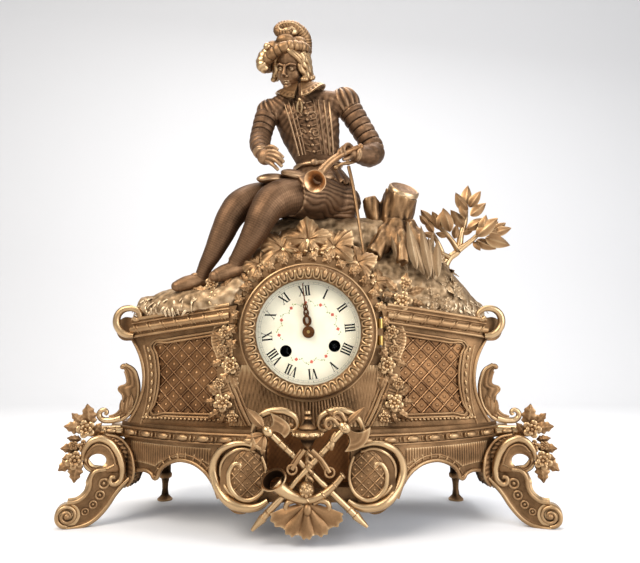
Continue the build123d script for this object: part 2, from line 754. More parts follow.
VINE_LEAVES = (
    ((-2, 222), (-8, 238), 16),
    ((-2, 222), (-26, 226), 17),
    ((-2, 222), (22, 230), 17),
    ((-4, 222), (-20, 208), 15),
    ((0, 222), (20, 212), 15),
    ((-18, 222), (-44, 214), 14),
    ((16, 222), (40, 218), 14),
    ((18, 216), (42, 206), 12),
    ((-20, 214), (-46, 200), 12),
)
vine_plane = facing(-34)
vine_leaves = joined(
    [leaf(vine_plane, root, tip, width, 20) for root, tip, width in VINE_LEAVES],
    [mound_full, arch_core, case_shape.part, cornice, inner_leg, rapier],
)

# Flower garlands beside the dial: rosettes and leaves seated on the case front
GARLAND = (
    (70.0, 184.0, 9.0), (62.0, 172.0, 8.0), (68.0, 160.0, 8.5), (66.0, 147.0, 9.0), (70.0, 134.0, 8.5),
    (65.0, 121.0, 8.5), (62.0, 108.0, 8.5), (57.0, 96.0, 7.5), (56.0, 87.0, 6.5),
)
GARLAND_RISE = 8.0
GARLAND_FRONT = -63.0
bezel_room = disc(facing(BACK_Y, 0, DIAL_Z), BEZEL_OUT + 3.2, 2 * BACK_Y + 60)
with BuildPart() as right_garland:
    for x, z, radius in GARLAND:
        with BuildSketch(facing(bow(x, BODY_APEX, BODY_BOW) + 6)):
            with Locations((x, z)):
                Circle(radius)
        extrude(amount=GARLAND_RISE + 6, taper=14)
    for (x, z, _), (u, v, _) in zip(GARLAND, GARLAND[1:]):
        add(bar(facing(bow(x, BODY_APEX, BODY_BOW) + 6), (x, z), (u, v), 7, 10))
    add(block((0, -200, 0), (200, GARLAND_FRONT, 300)), mode=Mode.SUBTRACT)
    add(case_shape.part, mode=Mode.SUBTRACT)
    add(cornice, mode=Mode.SUBTRACT)
    add(mound_full, mode=Mode.SUBTRACT)
    add(bezel_room, mode=Mode.SUBTRACT)
    add(rapier, mode=Mode.SUBTRACT)
    add(base_ledge.part, mode=Mode.SUBTRACT)
flower_garlands = joined(
    [right_garland.part, mirrored(right_garland.part)],
    [inner_leg, outer_leg, vine_leaves, rapier, mound_full],
)

# Trophy mount: crossed halberd and axe, urn, horn and palmette on one plate of metal
TROPHY_Y = -80.0
TROPHY_THICK = 5.0
trophy_plane = facing(TROPHY_Y)


def crescent(centre, radius, bite_at, bite):
    """Returns a crescent blade: a disc with a smaller disc bitten out of it."""
    with BuildPart() as blade:
        with BuildSketch(trophy_plane):
            with Locations(centre):
                Circle(radius)
            with Locations(bite_at):
                Circle(bite, mode=Mode.SUBTRACT)
        extrude(amount=TROPHY_THICK)
    return blade.part


halberd = [
    bar(trophy_plane, (-36, 14), (35, 83), 3.6, TROPHY_THICK),
    leaf(trophy_plane, (32, 80), (40, 97), 7, TROPHY_THICK),
    bar(trophy_plane, (24, 76), (35, 86), 10, TROPHY_THICK),
    crescent((33, 74), 10.5, (25, 82), 9.5),
]
axe = [
    bar(trophy_plane, (38, 16), (-35, 82), 3.6, TROPHY_THICK),
    leaf(trophy_plane, (-32, 80), (-44, 97), 7, TROPHY_THICK),
    bar(trophy_plane, (-24, 74), (-34, 84), 9, TROPHY_THICK),
    crescent((-26, 84), 10.0, (-34, 76), 9.0),
    crescent((-36, 68), 8.0, (-29, 74), 6.0),
    bar(trophy_plane, (-38, 70), (-31, 79), 3, TROPHY_THICK),
]
with BuildPart() as urn:
    with BuildSketch(Plane.XZ):
        with BuildLine():
            Polyline((0, 93), (2.5, 92), (2.2, 88), (5, 84), (3, 82), (11, 79), (10.5, 76), (6, 72), (0, 64))
            Line((0, 64), (0, 93))
        make_face()
    revolve(axis=Axis.Z)
urn_at = joined([urn.part.moved(Location((0, TROPHY_Y + 2, 0)))], [])
horn_bow = [
    limb([((-27, -83, 46), 7.0), ((-22, -83, 40), 5.0), ((-12, -83, 35), 4.0), ((0, -83, 33.5), 3.4),
          ((13, -83, 37), 2.8), ((21, -83, 44), 2.2), ((25, -83, 51), 2.6)])
]
palmette = [
    leaf(trophy_plane, (0, 32), (0, 6), 17, TROPHY_THICK),
    leaf(trophy_plane, (-4, 30), (-22, 12), 13, TROPHY_THICK),
    leaf(trophy_plane, (4, 30), (22, 14), 13, TROPHY_THICK),
    bar(trophy_plane, (0, 24), (0, 68), 5, TROPHY_THICK),
    bar(trophy_plane, (0, 66), (-11, 52), 4, TROPHY_THICK),
    bar(trophy_plane, (0, 66), (15, 50), 4, TROPHY_THICK),
    ball((0, -83, 39), 4.6),
]
TROPHY_PINS = ((-39.0, 70.0), (36.0, 70.0))
pins = [disc(facing(BASE_APEX + 2), 2.0, BASE_APEX + 3 - TROPHY_Y, place) for place in TROPHY_PINS]
trophy_forms = halberd + axe + [urn_at] + horn_bow + palmette + pins
trophy_mount = joined(trophy_forms, [base_casting.part, base_ledge.part])

# Dial ring: the fixed front ring that the bezel hangs on, with the dial seated in it
ring_back = BODY_APEX
ring_front = BODY_APEX - FLANGE_THICK
dial_front = BODY_APEX - 0.5
plate_front = FRONT_PLATE_Y - PLATE_THICK
bezel_back = ring_front - GAP
hinge_x = BEZEL_OUT + HINGE_OUT + 0.6
hinge_y = bezel_back - HINGE_OUT


def knuckle(place, low, high, tab_to, tab_low, tab_high):
    """Returns a hinge knuckle around a vertical axis with a tab to its leaf and a neck between them."""
    x, y = place
    edge = x + HINGE_PIN
    with BuildPart() as body:
        add(block((tab_to, tab_low, DIAL_Z + low), (edge, tab_high, DIAL_Z + high)))
        add(block((x - HINGE_PIN, min(y, tab_low), DIAL_Z + low), (edge, max(y, tab_high), DIAL_Z + high)))
        with BuildSketch(Plane.XY.offset(DIAL_Z + low)):
            with Locations(place):
                Circle(HINGE_OUT)
        extrude(amount=high - low)
        with BuildSketch(Plane.XY.offset(DIAL_Z + low - 1)):
            with Locations(place):
                Circle(HINGE_PIN + FIT)
        extrude(amount=high - low + 2, mode=Mode.SUBTRACT)
    return body.part


with BuildPart() as dial_ring:
    add(disc(facing(ring_back, 0, DIAL_Z), FLANGE_R, FLANGE_THICK, bore=TUBE_IN))
    add(disc(facing(plate_front, 0, DIAL_Z), TUBE_OUT, plate_front - ring_back, bore=TUBE_IN))
    add(disc(facing(plate_front, 0, DIAL_Z), TUBE_OUT, PLATE_THICK, bore=PLATE_R - 2.5))
    add(disc(facing(dial_front + DIAL_THICK + 2, 0, DIAL_Z), TUBE_OUT, 2, bore=DIAL_SEAT))
    for low, high in ((-2 * KNUCKLE, -KNUCKLE / 2 - GAP), (KNUCKLE / 2 + GAP, 2 * KNUCKLE)):
        add(knuckle((hinge_x, hinge_y), low, high, FLANGE_R - 2, ring_front, ring_front + 1))

with BuildPart() as bezel_ring:
    with BuildSketch(Plane.XZ):
        with BuildLine():
            Polyline((BEZEL_OUT, 0), (GLASS_R + GAP, 0), (GLASS_R + GAP, GLASS_SEAT), (BEZEL_IN, GLASS_SEAT))
            Line((BEZEL_IN, GLASS_SEAT), (BEZEL_IN, GLASS_SEAT + 1))
            ThreePointArc((BEZEL_IN, GLASS_SEAT + 1), (42.2, 9.3), (46.0, BEZEL_DEEP))
            ThreePointArc((46.0, BEZEL_DEEP), (48.6, 10.6), (49.4, 7.6))
            ThreePointArc((49.4, 7.6), (51.0, 6.8), (BEZEL_OUT, 5.0))
            Line((BEZEL_OUT, 5.0), (BEZEL_OUT, 0))
        make_face()
    revolve(axis=Axis.Z)
bezel_place = Plane(origin=(0, bezel_back, DIAL_Z), x_dir=(1, 0, 0), z_dir=(0, -1, 0)).location
with BuildPart() as bezel:
    add(bezel_ring.part.moved(bezel_place))
    add(knuckle((hinge_x, hinge_y), -KNUCKLE / 2, KNUCKLE / 2, BEZEL_OUT - 2, hinge_y - HINGE_OUT, hinge_y))

def dome(edge, low, top):
    """Returns the middle point of a shallow dome's profile from the axis at top to (edge, low)."""
    rise = top - low
    radius = (edge**2 + rise**2) / (2 * rise)
    return edge / 2, top - radius + sqrt(radius**2 - edge**2 / 4)


glass_low = GLASS_SEAT - GLASS_THICK
glass_top = GLASS_SEAT + GLASS_RISE
glass_edge = BEZEL_IN - 1.0
with BuildPart() as glass_form:
    with BuildSketch(Plane.XZ):
        with BuildLine():
            Line((0, glass_top), (0, glass_top - GLASS_THICK))
            ThreePointArc(
                (0, glass_top - GLASS_THICK),
                dome(glass_edge, glass_low, glass_top - GLASS_THICK),
                (glass_edge, glass_low),
            )
            Polyline((glass_edge, glass_low), (GLASS_R, glass_low), (GLASS_R, GLASS_SEAT))
            Line((GLASS_R, GLASS_SEAT), (glass_edge, GLASS_SEAT))
            ThreePointArc((glass_edge, GLASS_SEAT), dome(glass_edge, GLASS_SEAT, glass_top), (0, glass_top))
        make_face()
    revolve(axis=Axis.Z)
bezel_glass = joined([glass_form.part.moved(bezel_place)], [])

# Dial: an enamelled disc with a centre hole and two winding holes
winding = {side: polar(WINDING_REACH, 90 - side * WINDING_ANGLE) for side in (-1, 1)}
with BuildPart() as dial:
    with BuildSketch(movement(dial_front + DIAL_THICK)):
        Circle(DIAL_R)
        Circle(3.2, mode=Mode.SUBTRACT)
        with Locations(winding[-1], winding[1]):
            Circle(WINDING_HOLE, mode=Mode.SUBTRACT)
    extrude(amount=DIAL_THICK)

# Train places on the movement's plane
CENTRE_AT = (0.0, 0.0)


def reach(pair):
    """Returns the distance between the axes of a wheel and its pinion."""
    return pair[2] * (pair[0] + pair[1]) / 2


barrel_at = {1: winding[1], -1: winding[-1]}
second_at = meet(CENTRE_AT, reach(SECOND), barrel_at[1], reach(GREAT), 1)
ESCAPE_LIFT = 22.6
escape_at = (0.0, ESCAPE_LIFT)
third_at = meet(CENTRE_AT, reach(CENTRE), escape_at, reach(THIRD), 1)
anchor_at = (0.0, ESCAPE_LIFT + ESCAPE_R * sqrt(2))
MINUTE_ANGLE = -90.0
minute_at = polar(reach(CANNON), MINUTE_ANGLE)
STRIKE_SECOND_ANGLE = 105.7
PIN_ANGLE = 64.7
FLY_ANGLE = 49.5
step = polar(reach(GREAT), STRIKE_SECOND_ANGLE)
strike_second_at = (barrel_at[-1][0] + step[0], barrel_at[-1][1] + step[1])
step = polar(reach(STRIKE), PIN_ANGLE)
pin_at = (strike_second_at[0] + step[0], strike_second_at[1] + step[1])
step = polar(reach(PIN), FLY_ANGLE)
fly_at = (pin_at[0] + step[0], pin_at[1] + step[1])


def bearing(start, end):
    """Returns the direction in degrees from one place to another."""
    return degrees(atan2(end[1] - start[1], end[0] - start[0]))


def teeth_points(count, module, first, place, leaves):
    """Returns the corners of a toothed outline whose first tooth points along the angle first."""
    pitch = count * module / 2
    root = pitch - (1.2 if leaves else 1.1) * module
    tip = pitch + (0.8 if leaves else 0.9) * module
    half = 180 / count
    shares = ((root, -0.5), (tip, -0.2), (tip, 0.2), (root, 0.5))
    points = []
    for tooth in range(count):
        for radius, share in shares:
            x, y = polar(radius, first + 2 * half * tooth + share * half)
            points.append((place[0] + x, place[1] + y))
    return points


def toothed(y, thick, count, module, first, place, leaves=False, bore=0.0, crossed=True):
    """Returns a wheel with crossed-out arms, or a pinion, on the movement's plane at depth y."""
    with BuildPart() as wheel:
        with BuildSketch(movement(y)):
            with BuildLine():
                Polyline(*teeth_points(count, module, first, place, leaves), close=True)
            make_face()
            rim = count * module / 2 - 1.1 * module - 1.2
            if crossed and not leaves:
                hub = max(bore, ARBOR_R) + 1.6
                with Locations(place):
                    Circle(rim, mode=Mode.SUBTRACT)
                    Circle(hub)
                for arm in range(4):
                    inner = polar(hub - 0.4, first + 45 + 90 * arm)
                    outer = polar(rim + 0.4, first + 45 + 90 * arm)
                    middle = (place[0] + (inner[0] + outer[0]) / 2, place[1] + (inner[1] + outer[1]) / 2)
                    with Locations(Location(middle, first + 45 + 90 * arm)):
                        Rectangle(rim - hub + 0.8, 1.4)
            if bore:
                with Locations(place):
                    Circle(bore, mode=Mode.SUBTRACT)
        extrude(amount=thick)
    return wheel.part


def arbor(place, radius, near=FRONT_PLATE_Y - PLATE_THICK, far=BACK_PLATE_Y):
    """Returns a plain arbor at a place from the front y near to the back y far."""
    return disc(movement(far), radius, far - near, place)


def small(pair):
    """Returns an arbor radius just inside the root of a pinion, at most the common arbor radius."""
    return min(ARBOR_R, pair[1] * pair[2] / 2 - 1.2 * pair[2] - 0.02)


# Going train
PINION_OVER = 1.0


def pinion(y, thick, pair, place, driver):
    """Returns a leaf pinion that meshes with the wheel at driver, a little longer than it is thick."""
    first = bearing(place, driver) + 180 / pair[1]
    return toothed(y + PINION_OVER, thick + 2 * PINION_OVER, pair[1], pair[2], first, place, leaves=True)


def spiral(y, long, place):
    """Returns a flat wound spring: two chains of half-circle arcs closed at their ends."""
    quarter = SPRING_PITCH / 4
    with BuildPart() as spring:
        with BuildSketch(movement(y)):
            with BuildLine():
                for edge in (0.0, SPRING_STRIP):
                    for half in range(2 * SPRING_TURNS):
                        centre = (place[0] + (quarter if half % 2 else -quarter), place[1])
                        CenterArc(centre, SPRING_IN + edge + 2 * half * quarter, 180 * (half % 2), 180)
                start = place[0] - quarter + SPRING_IN
                end = place[0] + quarter + SPRING_IN + 2 * (2 * SPRING_TURNS - 1) * quarter
                Line((start, place[1]), (start + SPRING_STRIP, place[1]))
                Line((end, place[1]), (end + SPRING_STRIP, place[1]))
            make_face()
        extrude(amount=long)
    return spring.part


def barrel(side, mate):
    """Returns a spring barrel: toothed back plate, drum and front cap, bored for its arbor."""
    place = barrel_at[side]
    count, _, module = GREAT
    back = BARREL_Y + BARREL_TEETH_THICK
    with BuildPart() as drum:
        add(toothed(back, BARREL_TEETH_THICK, count, module, bearing(place, mate), place,
                    bore=WINDING_R + FIT, crossed=False))
        add(disc(movement(BARREL_Y), BARREL_R, BARREL_LONG, place, bore=BARREL_R - BARREL_WALL))
        cap_y = BARREL_Y - BARREL_LONG + BARREL_CAP
        add(disc(movement(cap_y), BARREL_R, BARREL_CAP, place, bore=WINDING_R + FIT))
    return drum.part


def ratchet_points(place):
    """Returns the corners of a saw-toothed ratchet wheel."""
    points = []
    for tooth in range(20):
        for radius, lead in ((RATCHET_R, 0.0), (RATCHET_R - 1.0, 0.2)):
            x, y = polar(radius, 18 * tooth + 18 * lead)
            points.append((place[0] + x, place[1] + y))
    return points


RATCHET_Y = plate_front - 1.0


def winding_arbor(side):
    """Returns a winding arbor with its ratchet wheel and squared end."""
    place = winding[side]
    with BuildPart() as shaft:
        add(disc(movement(BACK_PLATE_Y), WINDING_R, BACK_PLATE_Y - RATCHET_Y + WHEEL_THICK + 1, place))
        with BuildSketch(movement(RATCHET_Y)):
            with BuildLine():
                Polyline(*ratchet_points(place), close=True)
            make_face()
        extrude(amount=WHEEL_THICK)
        with BuildSketch(movement(RATCHET_Y - WHEEL_THICK)):
            with Locations(place):
                Rectangle(WINDING_SQUARE, WINDING_SQUARE)
        extrude(amount=RATCHET_Y - WHEEL_THICK - dial_front - 0.3)
    return shaft.part


CLICK_ANGLE = {1: 20.0, -1: 160.0}
CLICK_REACH = RATCHET_R + 4.4
click_at = {}
for side in (-1, 1):
    step = polar(CLICK_REACH, CLICK_ANGLE[side])
    click_at[side] = (winding[side][0] + step[0], winding[side][1] + step[1])
CLICK_STUD = 1.0
CLICK_R = 2.4


def click(side):
    """Returns a click lever, held lifted just clear of the ratchet teeth."""
    place = click_at[side]
    nose = polar(RATCHET_R + 1.2, CLICK_ANGLE[side] - side * 52)
    tip = (winding[side][0] + nose[0], winding[side][1] + nose[1])
    with BuildPart() as lever:
        add(disc(movement(RATCHET_Y), CLICK_R, WHEEL_THICK, place))
        add(bar(movement(RATCHET_Y), place, tip, 1.4, WHEEL_THICK))
        add(disc(movement(RATCHET_Y + 1), CLICK_STUD + FIT, WHEEL_THICK + 2, place), mode=Mode.SUBTRACT)
    return lever.part


going_barrel = barrel(1, second_at)
striking_barrel = barrel(-1, strike_second_at)
SPRING_TURNS = 7
SPRING_STRIP = 0.5
SPRING_IN = WINDING_R + 0.8
SPRING_PITCH = (BARREL_R - BARREL_WALL - GAP - SPRING_IN - SPRING_STRIP) / (SPRING_TURNS - 0.25)
spring_long = BARREL_LONG - BARREL_CAP - 2 * GAP
going_mainspring = spiral(BARREL_Y - GAP, spring_long, barrel_at[1])
striking_mainspring = spiral(BARREL_Y - GAP, spring_long, barrel_at[-1])
second_wheel = joined(
    [
        arbor(second_at, ARBOR_R),
        toothed(SECOND_WHEEL_Y, WHEEL_THICK, SECOND[0], SECOND[2], bearing(second_at, CENTRE_AT), second_at),
        pinion(BARREL_Y + BARREL_TEETH_THICK, BARREL_TEETH_THICK, GREAT, second_at, barrel_at[1]),
    ]
)
CENTRE_ARBOR = 1.2
HAND_Y = dial_front - 4.0
centre_wheel = joined(
    [
        arbor(CENTRE_AT, CENTRE_ARBOR, HAND_Y - 1.2, BACK_PLATE_Y),
        toothed(CENTRE_WHEEL_Y, WHEEL_THICK, CENTRE[0], CENTRE[2], bearing(CENTRE_AT, third_at), CENTRE_AT),
        pinion(SECOND_WHEEL_Y, WHEEL_THICK, SECOND, CENTRE_AT, second_at),
    ]
)
third_wheel = joined(
    [
        arbor(third_at, small(CENTRE)),
        toothed(THIRD_WHEEL_Y, WHEEL_THICK, THIRD[0], THIRD[2], bearing(third_at, escape_at), third_at),
        pinion(CENTRE_WHEEL_Y, WHEEL_THICK, CENTRE, third_at, CENTRE_AT),
    ]
)


def escape_points():
    """Returns the corners of the raked escape wheel."""
    points = []
    for tooth in range(ESCAPE_TEETH):
        low = ESCAPE_R - 1.5
        for radius, lead in ((ESCAPE_R, 0.0), (ESCAPE_R, 0.12), (low, 0.35), (low, 0.85)):
            x, y = polar(radius, 360 / ESCAPE_TEETH * (tooth + lead))
            points.append((escape_at[0] + x, escape_at[1] + y))
    return points


with BuildPart() as escape_disc:
    with BuildSketch(movement(ESCAPE_WHEEL_Y)):
        with BuildLine():
            Polyline(*escape_points(), close=True)
        make_face()
    extrude(amount=WHEEL_THICK)
escape_wheel = joined(
    [
        arbor(escape_at, small(THIRD)),
        escape_disc.part,
        pinion(THIRD_WHEEL_Y, WHEEL_THICK, THIRD, escape_at, third_at),
    ]
)

# Anchor with its crutch, hung on the axis that the pendulum also swings about
ANCHOR_R = 1.0
ANCHOR_SPAN = 45.0
CRUTCH_LONG = 26.0
CRUTCH_Y = BACK_PLATE_Y + PLATE_THICK - 1.2
anchor_x, anchor_z = turned(anchor_at)
pallet_tips = []
for side in (-1, 1):
    step = polar(ESCAPE_R + PALLET_CLEAR, 90 - side * ANCHOR_SPAN)
    pallet_tips.append((escape_at[0] + step[0], escape_at[1] + step[1]))
with BuildPart() as pallet_anchor:
    add(arbor(anchor_at, ANCHOR_R, FRONT_PLATE_Y - PLATE_THICK, CRUTCH_Y + 2.4))
    add(disc(movement(ESCAPE_WHEEL_Y), 2.2, WHEEL_THICK, anchor_at))
    for side, tip in zip((-1, 1), pallet_tips):
        step = polar(2.6, 90 - side * ANCHOR_SPAN)
        corner = (tip[0] + step[0], tip[1] + step[1])
        add(bar(movement(ESCAPE_WHEEL_Y), anchor_at, corner, 1.8, WHEEL_THICK))
        add(bar(movement(ESCAPE_WHEEL_Y), corner, tip, 1.6, WHEEL_THICK))
    crutch_low = anchor_z - CRUTCH_LONG
    add(block((anchor_x - 1.4, CRUTCH_Y + 1.2, crutch_low), (anchor_x + 1.4, CRUTCH_Y + 2.4, anchor_z)))
    add(disc(facing(CRUTCH_Y + 2.4, anchor_x, anchor_z), 2.4, 1.2))
    for side in (-1, 1):
        near = anchor_x + side * (ROD_R + GAP)
        far = anchor_x + side * (ROD_R + GAP + 1.2)
        corner = (max(near, far), PENDULUM_Y + 2, crutch_low + 3)
        add(block((min(near, far), CRUTCH_Y + 1.2, crutch_low), corner))

# Suspension cock: two posts and a bridge with the pin that the pendulum hangs on
COCK_SPREAD = 9.0
COCK_PIN = 1.2
plate_back = BACK_PLATE_Y + PLATE_THICK
bridge_y = PENDULUM_Y - 3.0
with BuildPart() as suspension_cock:
    for side in (-1, 1):
        add(disc(facing(bridge_y, anchor_x + side * COCK_SPREAD, anchor_z - 4), 1.8, bridge_y - plate_back))
    with BuildSketch(facing(bridge_y)):
        with Locations((anchor_x, anchor_z - 2)):
            Rectangle(2 * COCK_SPREAD + 3.6, 8)
    extrude(amount=2.0)
    add(disc(facing(PENDULUM_Y + 2.5, anchor_x, anchor_z), COCK_PIN, PENDULUM_Y + 2.5 - bridge_y))

# Pendulum: hook, rod, lens bob and rating nut
bob_z = anchor_z - PENDULUM_LONG
with BuildPart() as bob:
    with BuildSketch(Plane.XZ):
        with BuildLine():
            Polyline((0, -BOB_THICK / 2), (BOB_R * 0.6, -BOB_THICK * 0.42))
            ThreePointArc((BOB_R * 0.6, -BOB_THICK * 0.42), (BOB_R, 0), (BOB_R * 0.6, BOB_THICK * 0.42))
            Polyline((BOB_R * 0.6, BOB_THICK * 0.42), (0, BOB_THICK / 2), (0, -BOB_THICK / 2))
        make_face()
    revolve(axis=Axis.Z)
bob_place = facing(PENDULUM_Y, anchor_x, bob_z).location
with BuildPart() as pendulum:
    add(bob.part.moved(bob_place))
    with BuildSketch(Plane.XY.offset(bob_z - BOB_R - 6)):
        with Locations((anchor_x, PENDULUM_Y)):
            Circle(ROD_R)
    extrude(amount=PENDULUM_LONG + BOB_R + 6 - 2.2)
    with BuildSketch(Plane.XY.offset(bob_z - BOB_R - 4)):
        with Locations((anchor_x, PENDULUM_Y)):
            Circle(3.0)
    extrude(amount=3)
    add(disc(facing(PENDULUM_Y + 1.2, anchor_x, anchor_z), 3.0, 2.4, bore=COCK_PIN + FIT))

# Striking train
striking_second_wheel = joined(
    [
        arbor(strike_second_at, ARBOR_R),
        toothed(SECOND_WHEEL_Y, WHEEL_THICK, STRIKE[0], STRIKE[2], bearing(strike_second_at, pin_at),
                strike_second_at),
        pinion(BARREL_Y + BARREL_TEETH_THICK, BARREL_TEETH_THICK, GREAT, strike_second_at, barrel_at[-1]),
    ]
)
PIN_COUNT = 8
PIN_R = 0.5
PIN_CIRCLE = 6.0
pin_studs = []
for number in range(PIN_COUNT):
    step = polar(PIN_CIRCLE, 360 / PIN_COUNT * number)
    stud_at = (pin_at[0] + step[0], pin_at[1] + step[1])
    pin_studs.append(disc(movement(PIN_WHEEL_Y + 2.4), PIN_R, 3.2, stud_at))
pin_wheel = joined(
    [
        arbor(pin_at, small(STRIKE)),
        toothed(PIN_WHEEL_Y, WHEEL_THICK, PIN[0], PIN[2], bearing(pin_at, fly_at), pin_at, crossed=False),
        pinion(SECOND_WHEEL_Y, WHEEL_THICK, STRIKE, pin_at, strike_second_at),
    ]
    + pin_studs
)
FLY_HALF = 4.6
fly_arbor = small(PIN)
strike_fly = joined(
    [
        arbor(fly_at, fly_arbor),
        pinion(PIN_WHEEL_Y, WHEEL_THICK, PIN, fly_at, pin_at),
        bar(movement(-38.0), (fly_at[0] - FLY_HALF, fly_at[1]), (fly_at[0] + FLY_HALF, fly_at[1]), 0.8, 6.0),
    ]
)
HAMMER_ARBOR = 1.0
HAMMER_HEAD_R = 3.5
HAMMER_REACH = BELL_R + HAMMER_HEAD_R + 1.5
HAMMER_HEAD = polar(HAMMER_REACH, 183.0)
hammer_y = BELL_Y - BELL_DEEP + 7
with BuildPart() as bell_hammer:
    add(arbor(HAMMER_PLACE, HAMMER_ARBOR, FRONT_PLATE_Y - PLATE_THICK, hammer_y))
    add(bar(movement(hammer_y), HAMMER_PLACE, HAMMER_HEAD, 1.8, 1.6))
    add(disc(movement(hammer_y), 1.8, 1.6, HAMMER_PLACE))
    add(disc(movement(hammer_y + 2), HAMMER_HEAD_R, 7, HAMMER_HEAD))
    tail = (pin_at[0] - PIN_CIRCLE - PIN_R - 1.6, pin_at[1])
    add(bar(movement(PIN_WHEEL_Y + 2.2), HAMMER_PLACE, tail, 1.2, 1.2))

# Plates, pillars, bell and its stand
holes = [
    (second_at, ARBOR_R), (CENTRE_AT, CENTRE_ARBOR), (third_at, small(CENTRE)), (escape_at, small(THIRD)),
    (anchor_at, ANCHOR_R), (strike_second_at, ARBOR_R), (pin_at, small(STRIKE)), (fly_at, fly_arbor),
    (HAMMER_PLACE, HAMMER_ARBOR), (winding[1], WINDING_R), (winding[-1], WINDING_R),
]


def plate(y):
    """Returns a round movement plate with a running hole for every arbor."""
    with BuildPart() as sheet:
        with BuildSketch(movement(y)):
            Circle(PLATE_R)
            for place, radius in holes:
                with Locations(place):
                    Circle(radius + FIT, mode=Mode.SUBTRACT)
        extrude(amount=PLATE_THICK)
    return sheet.part


MINUTE_STUD = 1.2
front_plate = joined(
    [
        plate(FRONT_PLATE_Y),
        disc(movement(plate_front), MINUTE_STUD, 7.4, minute_at),
        disc(movement(plate_front), CLICK_STUD, 2.4, click_at[1]),
        disc(movement(plate_front), CLICK_STUD, 2.4, click_at[-1]),
    ]
)
back_plate = plate(BACK_PLATE_Y + PLATE_THICK)
plate_pillars = joined(
    [
        disc(movement(BACK_PLATE_Y), PILLAR_R, BACK_PLATE_Y - FRONT_PLATE_Y, polar(PILLAR_REACH, angle))
        for angle in PILLAR_ANGLES
    ]
)
STAND_FOOT = polar(34.0, -40.0)
STAND_Y = BELL_Y - BELL_DEEP - 3
with BuildPart() as bell:
    with BuildSketch(Plane.XZ):
        with BuildLine():
            inner_lip = BELL_R - BELL_WALL
            inner_top = BELL_DEEP - BELL_WALL
            Line((2.0, BELL_DEEP), (2.0, inner_top))
            ThreePointArc((2.0, inner_top), (BELL_R * 0.68, BELL_DEEP * 0.68), (inner_lip, 0))
            Line((inner_lip, 0), (BELL_R, 0))
            ThreePointArc((BELL_R, 0), (BELL_R * 0.74, BELL_DEEP * 0.74), (2.0, BELL_DEEP))
        make_face()
    revolve(axis=Axis.Z)
bell_place = Plane(origin=(0, BELL_Y - BELL_DEEP, DIAL_Z), x_dir=(1, 0, 0), z_dir=(0, 1, 0)).location
bell_set = joined([bell.part.moved(bell_place)], [])
bell_stand = joined(
    [
        disc(movement(STAND_Y), 2.2, STAND_Y - plate_back, STAND_FOOT),
        bar(movement(STAND_Y), STAND_FOOT, (0, 0), 4.4, 1.6),
        disc(movement(BELL_Y + 3), 2.0 - FIT, BELL_Y + 3 - STAND_Y + 0.5),
        disc(movement(BELL_Y - BELL_WALL), 4.0, 4.0),
        disc(movement(BELL_Y + 3), 4.0, 3.0),
    ],
    [bell_set],
)

# Hands and motion work
PIPE_R = 1.75
HOUR_PIPE = 2.7
cannon_y = plate_front - 1.0
hour_y = cannon_y - 4.2
HOUR_HAND_Y = dial_front - 1.4
HAND_THICK = 0.8
cannon_pinion = joined(
    [
        toothed(cannon_y, 2.0, CANNON[1], CANNON[2], bearing(CENTRE_AT, minute_at) + 180 / CANNON[1],
                CENTRE_AT, leaves=True, bore=CENTRE_ARBOR + 0.03),
        disc(movement(cannon_y - 2.0), PIPE_R, cannon_y - 2.0 - HAND_Y, bore=CENTRE_ARBOR + 0.03),
    ]
)
minute_wheel = joined(
    [
        toothed(cannon_y - 0.2, 1.6, CANNON[0], CANNON[2], bearing(minute_at, CENTRE_AT), minute_at,
                bore=MINUTE_STUD + FIT),
        toothed(cannon_y - 1.8, 4.6, HOUR[1], HOUR[2], bearing(minute_at, CENTRE_AT) + 180 / HOUR[1],
                minute_at, leaves=True, bore=MINUTE_STUD + FIT),
    ]
)
hour_wheel = joined(
    [
        toothed(hour_y, WHEEL_THICK, HOUR[0], HOUR[2], bearing(CENTRE_AT, minute_at), CENTRE_AT,
                bore=PIPE_R + FIT),
        disc(movement(hour_y - WHEEL_THICK), HOUR_PIPE, hour_y - WHEEL_THICK - HOUR_HAND_Y,
             bore=PIPE_R + FIT),
    ]
)
HAND_LEAN = 91.0


def hand(y, bore, boss, rings, blade, tail_r):
    """Returns a pierced hand: a boss, a chain of rings and a pointed blade, along the movement's twelve."""
    plane = facing(y, 0, DIAL_Z, DIAL_TURN + HAND_LEAN - 90.0)
    with BuildPart() as pointer:
        with BuildSketch(plane):
            Circle(boss)
            for start, radius_x, radius_y in rings:
                with Locations((0, start)):
                    Ellipse(radius_x, radius_y)
            with BuildLine():
                Polyline((-tail_r, 0), (-tail_r * 0.45, blade), (tail_r * 0.45, blade), (tail_r, 0),
                         close=True)
            make_face()
            for start, radius_x, radius_y in rings:
                with Locations((0, start)):
                    Ellipse(radius_x * 0.55, radius_y * 0.6, mode=Mode.SUBTRACT)
            Circle(bore, mode=Mode.SUBTRACT)
        extrude(amount=HAND_THICK)
    return pointer.part


HOUR_LOOPS = ((8.6, 3.4, 4.2), (14.6, 2.2, 3.0), (19.4, 1.9, 2.4))
hour_hand = hand(HOUR_HAND_Y, HOUR_PIPE - 0.9, 4.6, HOUR_LOOPS, 24.5, 0.9)
minute_hand = joined(
    [
        hand(HAND_Y, CENTRE_ARBOR + 0.03, 4.2, ((9.0, 2.0, 4.4), (16.0, 1.6, 3.0)), 37.0, 0.8),
        disc(movement(HAND_Y - HAND_THICK), 2.6, 1.2, bore=CENTRE_ARBOR + 0.03),
    ]
)

